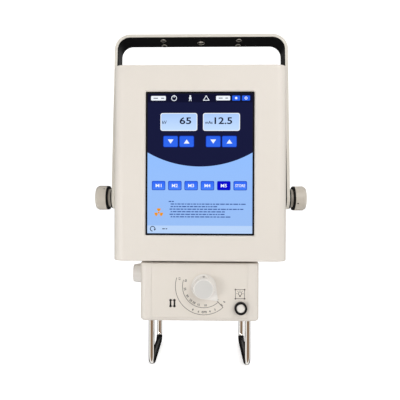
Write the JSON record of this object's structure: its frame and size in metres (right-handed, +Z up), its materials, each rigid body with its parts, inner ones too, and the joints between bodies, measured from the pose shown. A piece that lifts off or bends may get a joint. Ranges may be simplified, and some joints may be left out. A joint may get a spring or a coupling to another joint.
{
  "type": "portable x-ray head",
  "caption": "Portable x-ray generator head with touch screen, tilting U-shaped yoke with clamp knobs, and a light-beam collimator with field dials and guard bars.",
  "frame": {"origin": "on the surface that the guard bars stand on, under the middle of the whole object", "axes": "+X to the right seen from the screen side, +Y to the back, +Z up"},
  "size_m": [0.36, 0.227, 0.5515],
  "materials": {
    "cream_paint": "satin",
    "yoke_paint": "satin",
    "black_trim": "satin",
    "black_rubber": "matte",
    "knob_paint": "satin",
    "grey_knob": "satin",
    "white_cap": "gloss",
    "screen_glass": "gloss",
    "lcd_metal": "satin",
    "board_green": "satin",
    "sheet_aluminium": "brushed",
    "tank_aluminium": "satin",
    "tube_glass": "gloss",
    "copper": "satin",
    "transformer_iron": "matte",
    "capacitor_sleeve": "gloss",
    "steel": "brushed",
    "chrome": "polished",
    "clear_window": "gloss",
    "mirror_glass": "polished",
    "leaf_metal": "satin"
  },
  "bodies": {
    "body": {"front_cover": "cream_paint", "rear_cover": "cream_paint", "cover_screws": "steel", "rear_feet": "black_rubber", "touch_glass": "screen_glass", "lcd_panel": "lcd_metal", "screen_bracket": "sheet_aluminium", "control_board": "board_green", "chassis_frame": "sheet_aluminium", "tank_housing": "tank_aluminium", "tank_lid": "tank_aluminium", "tube_envelope": "tube_glass", "tube_electrodes": "copper", "hv_transformer": "transformer_iron", "inverter_board": "board_green", "capacitor_bank": "capacitor_sleeve", "fan_frame": "black_trim", "fan_grille": "steel", "power_inlet": "black_trim", "switch_frame": "black_trim", "handswitch_socket": "black_trim", "pivot_bosses": "cream_paint", "pivot_studs": "steel", "friction_washers": "black_rubber", "port_flange": "sheet_aluminium", "retaining_ring": "steel"},
    "yoke": {"yoke_bar": "yoke_paint", "yoke_liner": "black_rubber", "yoke_washers": "black_rubber"},
    "left_clamp": {"left_clamp_knob": "knob_paint", "left_knob_ring": "black_rubber", "left_set_screw": "steel"},
    "right_clamp": {"right_clamp_knob": "knob_paint", "right_knob_ring": "black_rubber", "right_set_screw": "steel"},
    "collimator": {"swivel_bearing": "black_trim", "collimator_housing": "cream_paint", "collimator_base": "cream_paint", "front_panel": "cream_paint", "exit_window": "clear_window", "beam_mirror": "mirror_glass", "lamp_board": "board_green", "shutter_frame": "sheet_aluminium", "button_bezel": "black_trim", "lamp_switch": "black_trim", "left_guard": "chrome", "right_guard": "chrome", "guard_sleeves": "black_rubber", "guard_nuts": "steel"},
    "front_field_dial": {"front_dial": "grey_knob", "front_spindle": "steel"},
    "side_field_dial": {"side_dial": "grey_knob", "side_spindle": "steel"},
    "left_leaf": {"leaf_left": "leaf_metal"},
    "right_leaf": {"leaf_right": "leaf_metal"},
    "front_leaf": {"leaf_front": "leaf_metal"},
    "rear_leaf": {"leaf_rear": "leaf_metal"},
    "lamp_push": {"lamp_button": "white_cap"},
    "rocker": {"power_rocker": "black_trim"},
    "fan": {"fan_rotor": "black_trim"}
  },
  "joints": [
    {"name": "yoke_tilt", "type": "hinge", "parent": "body", "child": "yoke", "pos_m": [0, 0, 0.2637], "axis": [1, 0, 0], "range_deg": [-100, 110]},
    {"name": "left_clamp_turn", "type": "hinge", "parent": "body", "child": "left_clamp", "pos_m": [-0.165, 0, 0.2637], "axis": [-1, 0, 0], "range_deg": [0, 360]},
    {"name": "right_clamp_turn", "type": "hinge", "parent": "body", "child": "right_clamp", "pos_m": [0.165, 0, 0.2637], "axis": [1, 0, 0], "range_deg": [0, 360]},
    {"name": "collimator_swivel", "type": "hinge", "parent": "body", "child": "collimator", "pos_m": [0, -0.02, 0.1655], "axis": [0, 0, 1], "range_deg": [-90, 90]},
    {"name": "front_dial_turn", "type": "hinge", "parent": "collimator", "child": "front_field_dial", "pos_m": [0.0065, -0.092, 0.1284], "axis": [0, 1, 0], "range_deg": [0, 152]},
    {"name": "side_dial_turn", "type": "hinge", "parent": "collimator", "child": "side_field_dial", "pos_m": [-0.091, -0.017, 0.1357], "axis": [1, 0, 0], "range_deg": [0, 152]},
    {"name": "right_leaf_slide", "type": "slide", "parent": "collimator", "child": "right_leaf", "axis": [1, 0, 0], "range_m": [0, 0.02388]},
    {"name": "left_leaf_slide", "type": "slide", "parent": "collimator", "child": "left_leaf", "axis": [-1, 0, 0], "range_m": [0, 0.02388]},
    {"name": "front_leaf_slide", "type": "slide", "parent": "collimator", "child": "front_leaf", "axis": [0, -1, 0], "range_m": [0, 0.02388]},
    {"name": "rear_leaf_slide", "type": "slide", "parent": "collimator", "child": "rear_leaf", "axis": [0, 1, 0], "range_m": [0, 0.02388]},
    {"name": "lamp_press", "type": "slide", "parent": "collimator", "child": "lamp_push", "axis": [0, 1, 0], "range_m": [0, 0.0025], "stiffness_N_per_m": 400, "springref_m": -0.0005},
    {"name": "power_rock", "type": "hinge", "parent": "body", "child": "rocker", "pos_m": [0.022, 0.096, 0.196], "axis": [0, 0, 1], "range_deg": [-14, 0]},
    {"name": "fan_spin", "type": "hinge", "parent": "body", "child": "fan", "pos_m": [0, 0.085, 0.4], "axis": [0, 1, 0], "continuous": true}
  ],
  "couplings": [
    {"joint": "front_dial_turn", "follows": "right_leaf_slide", "rad_per_m": 111.11},
    {"joint": "left_leaf_slide", "follows": "right_leaf_slide", "ratio": 1},
    {"joint": "side_dial_turn", "follows": "rear_leaf_slide", "rad_per_m": 111.11},
    {"joint": "front_leaf_slide", "follows": "rear_leaf_slide", "ratio": 1}
  ]
}
